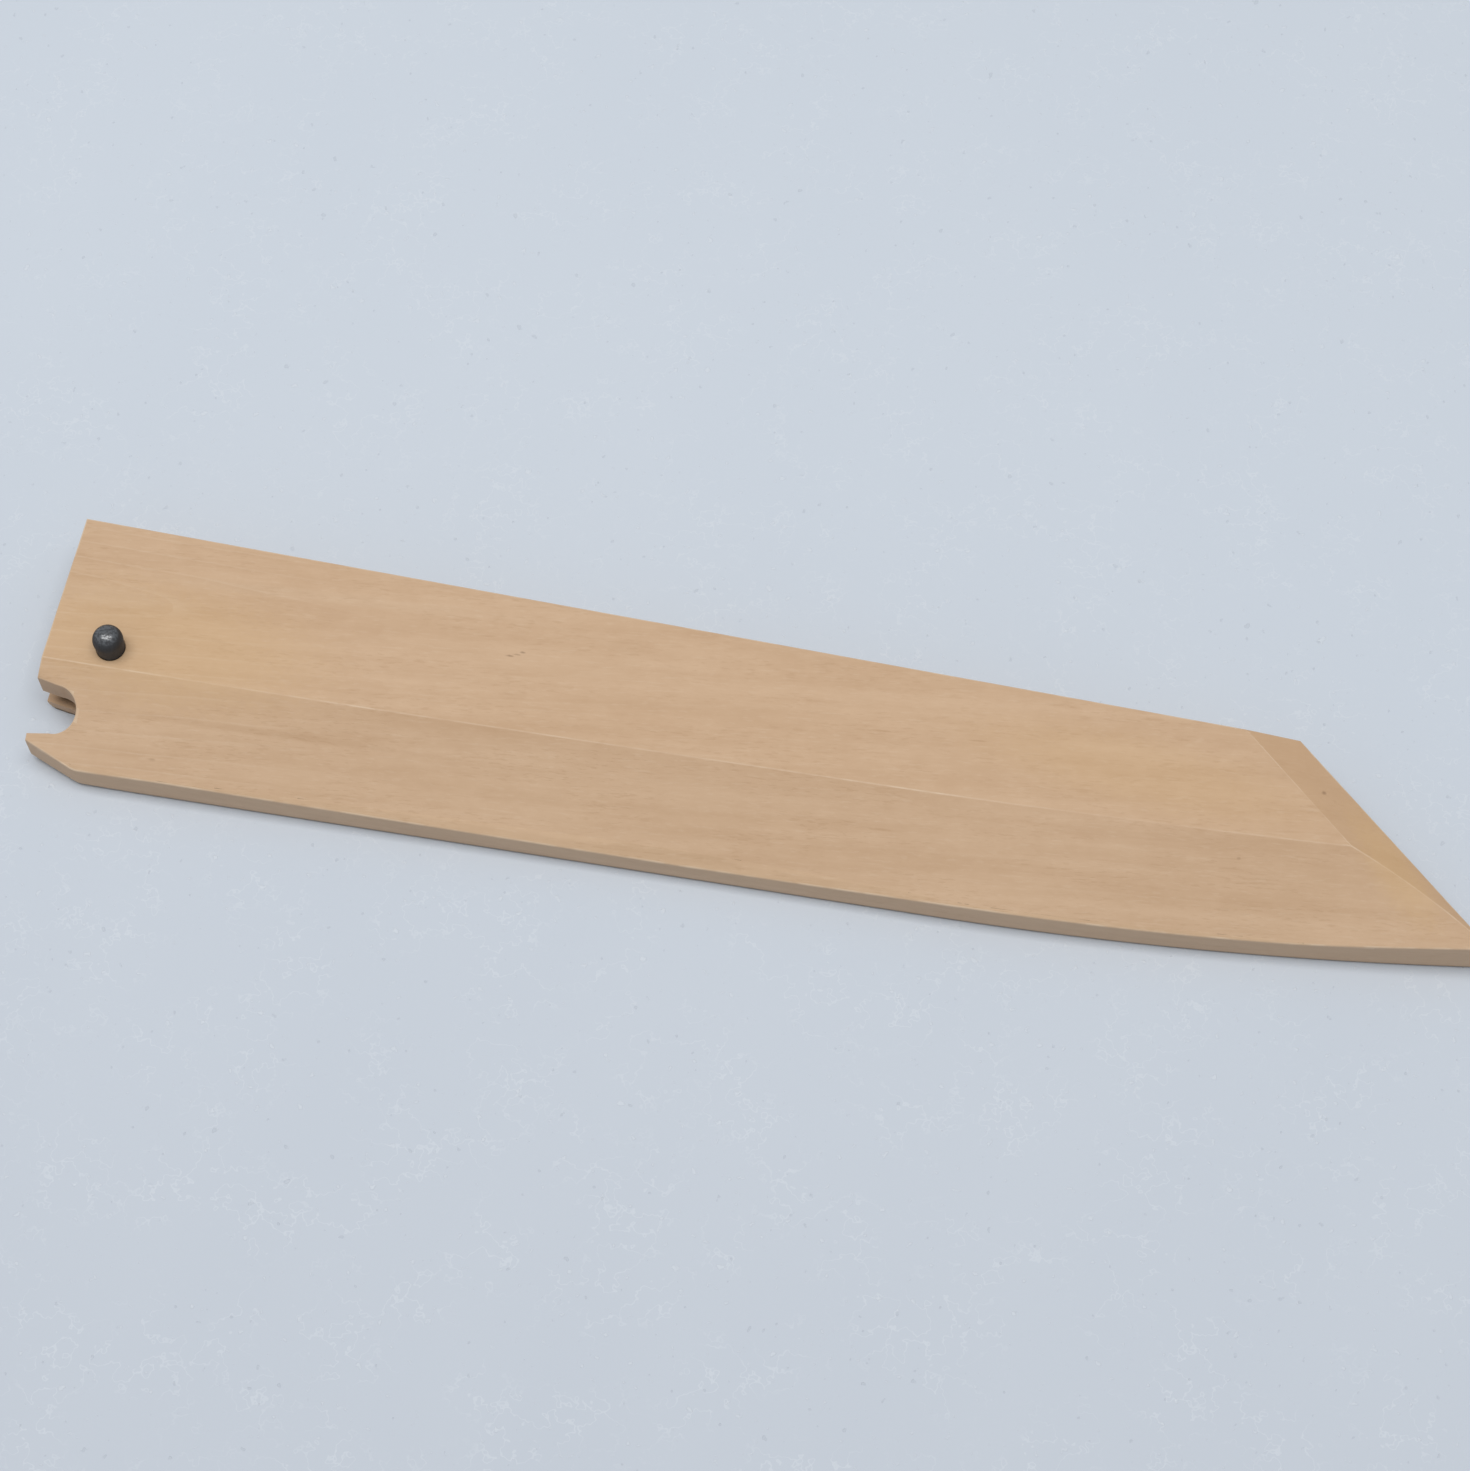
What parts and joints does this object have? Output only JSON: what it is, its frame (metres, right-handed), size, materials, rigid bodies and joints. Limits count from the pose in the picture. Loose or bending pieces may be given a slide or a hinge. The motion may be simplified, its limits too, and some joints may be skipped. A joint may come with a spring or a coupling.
{
  "type": "knife blade guard",
  "caption": "Slim wooden sheath for a long kitchen slicer with an angled tip: flat back, faceted front, blade slot, heel notch at the mouth, and a dark retaining peg that pulls out.",
  "frame": {"origin": "on the flat back, under the middle of the guard's overall length and width", "axes": "+X from the mouth to the tip, +Y from the cutting edge side to the spine side, +Z from the flat back to the faceted front, along the peg"},
  "size_m": [0.262, 0.0465, 0.0193],
  "materials": {
    "board_wood": "bare, finely planed pale wood with a soft dry sheen",
    "core_wood": "bare pale wood, planed flush with the boards",
    "peg_black": "turned, satin, with a soft highlight on the dome"
  },
  "bodies": {
    "sheath": {"front_board": "board_wood", "back_board": "board_wood", "spine_strip": "core_wood", "edge_strip": "core_wood", "tip_block": "core_wood"},
    "peg": {"retaining_peg": "peg_black"}
  },
  "joints": [
    {"name": "peg_pull", "type": "slide", "parent": "sheath", "child": "peg", "axis": [0, 0, 1], "range_m": [0, 0.022]}
  ]
}
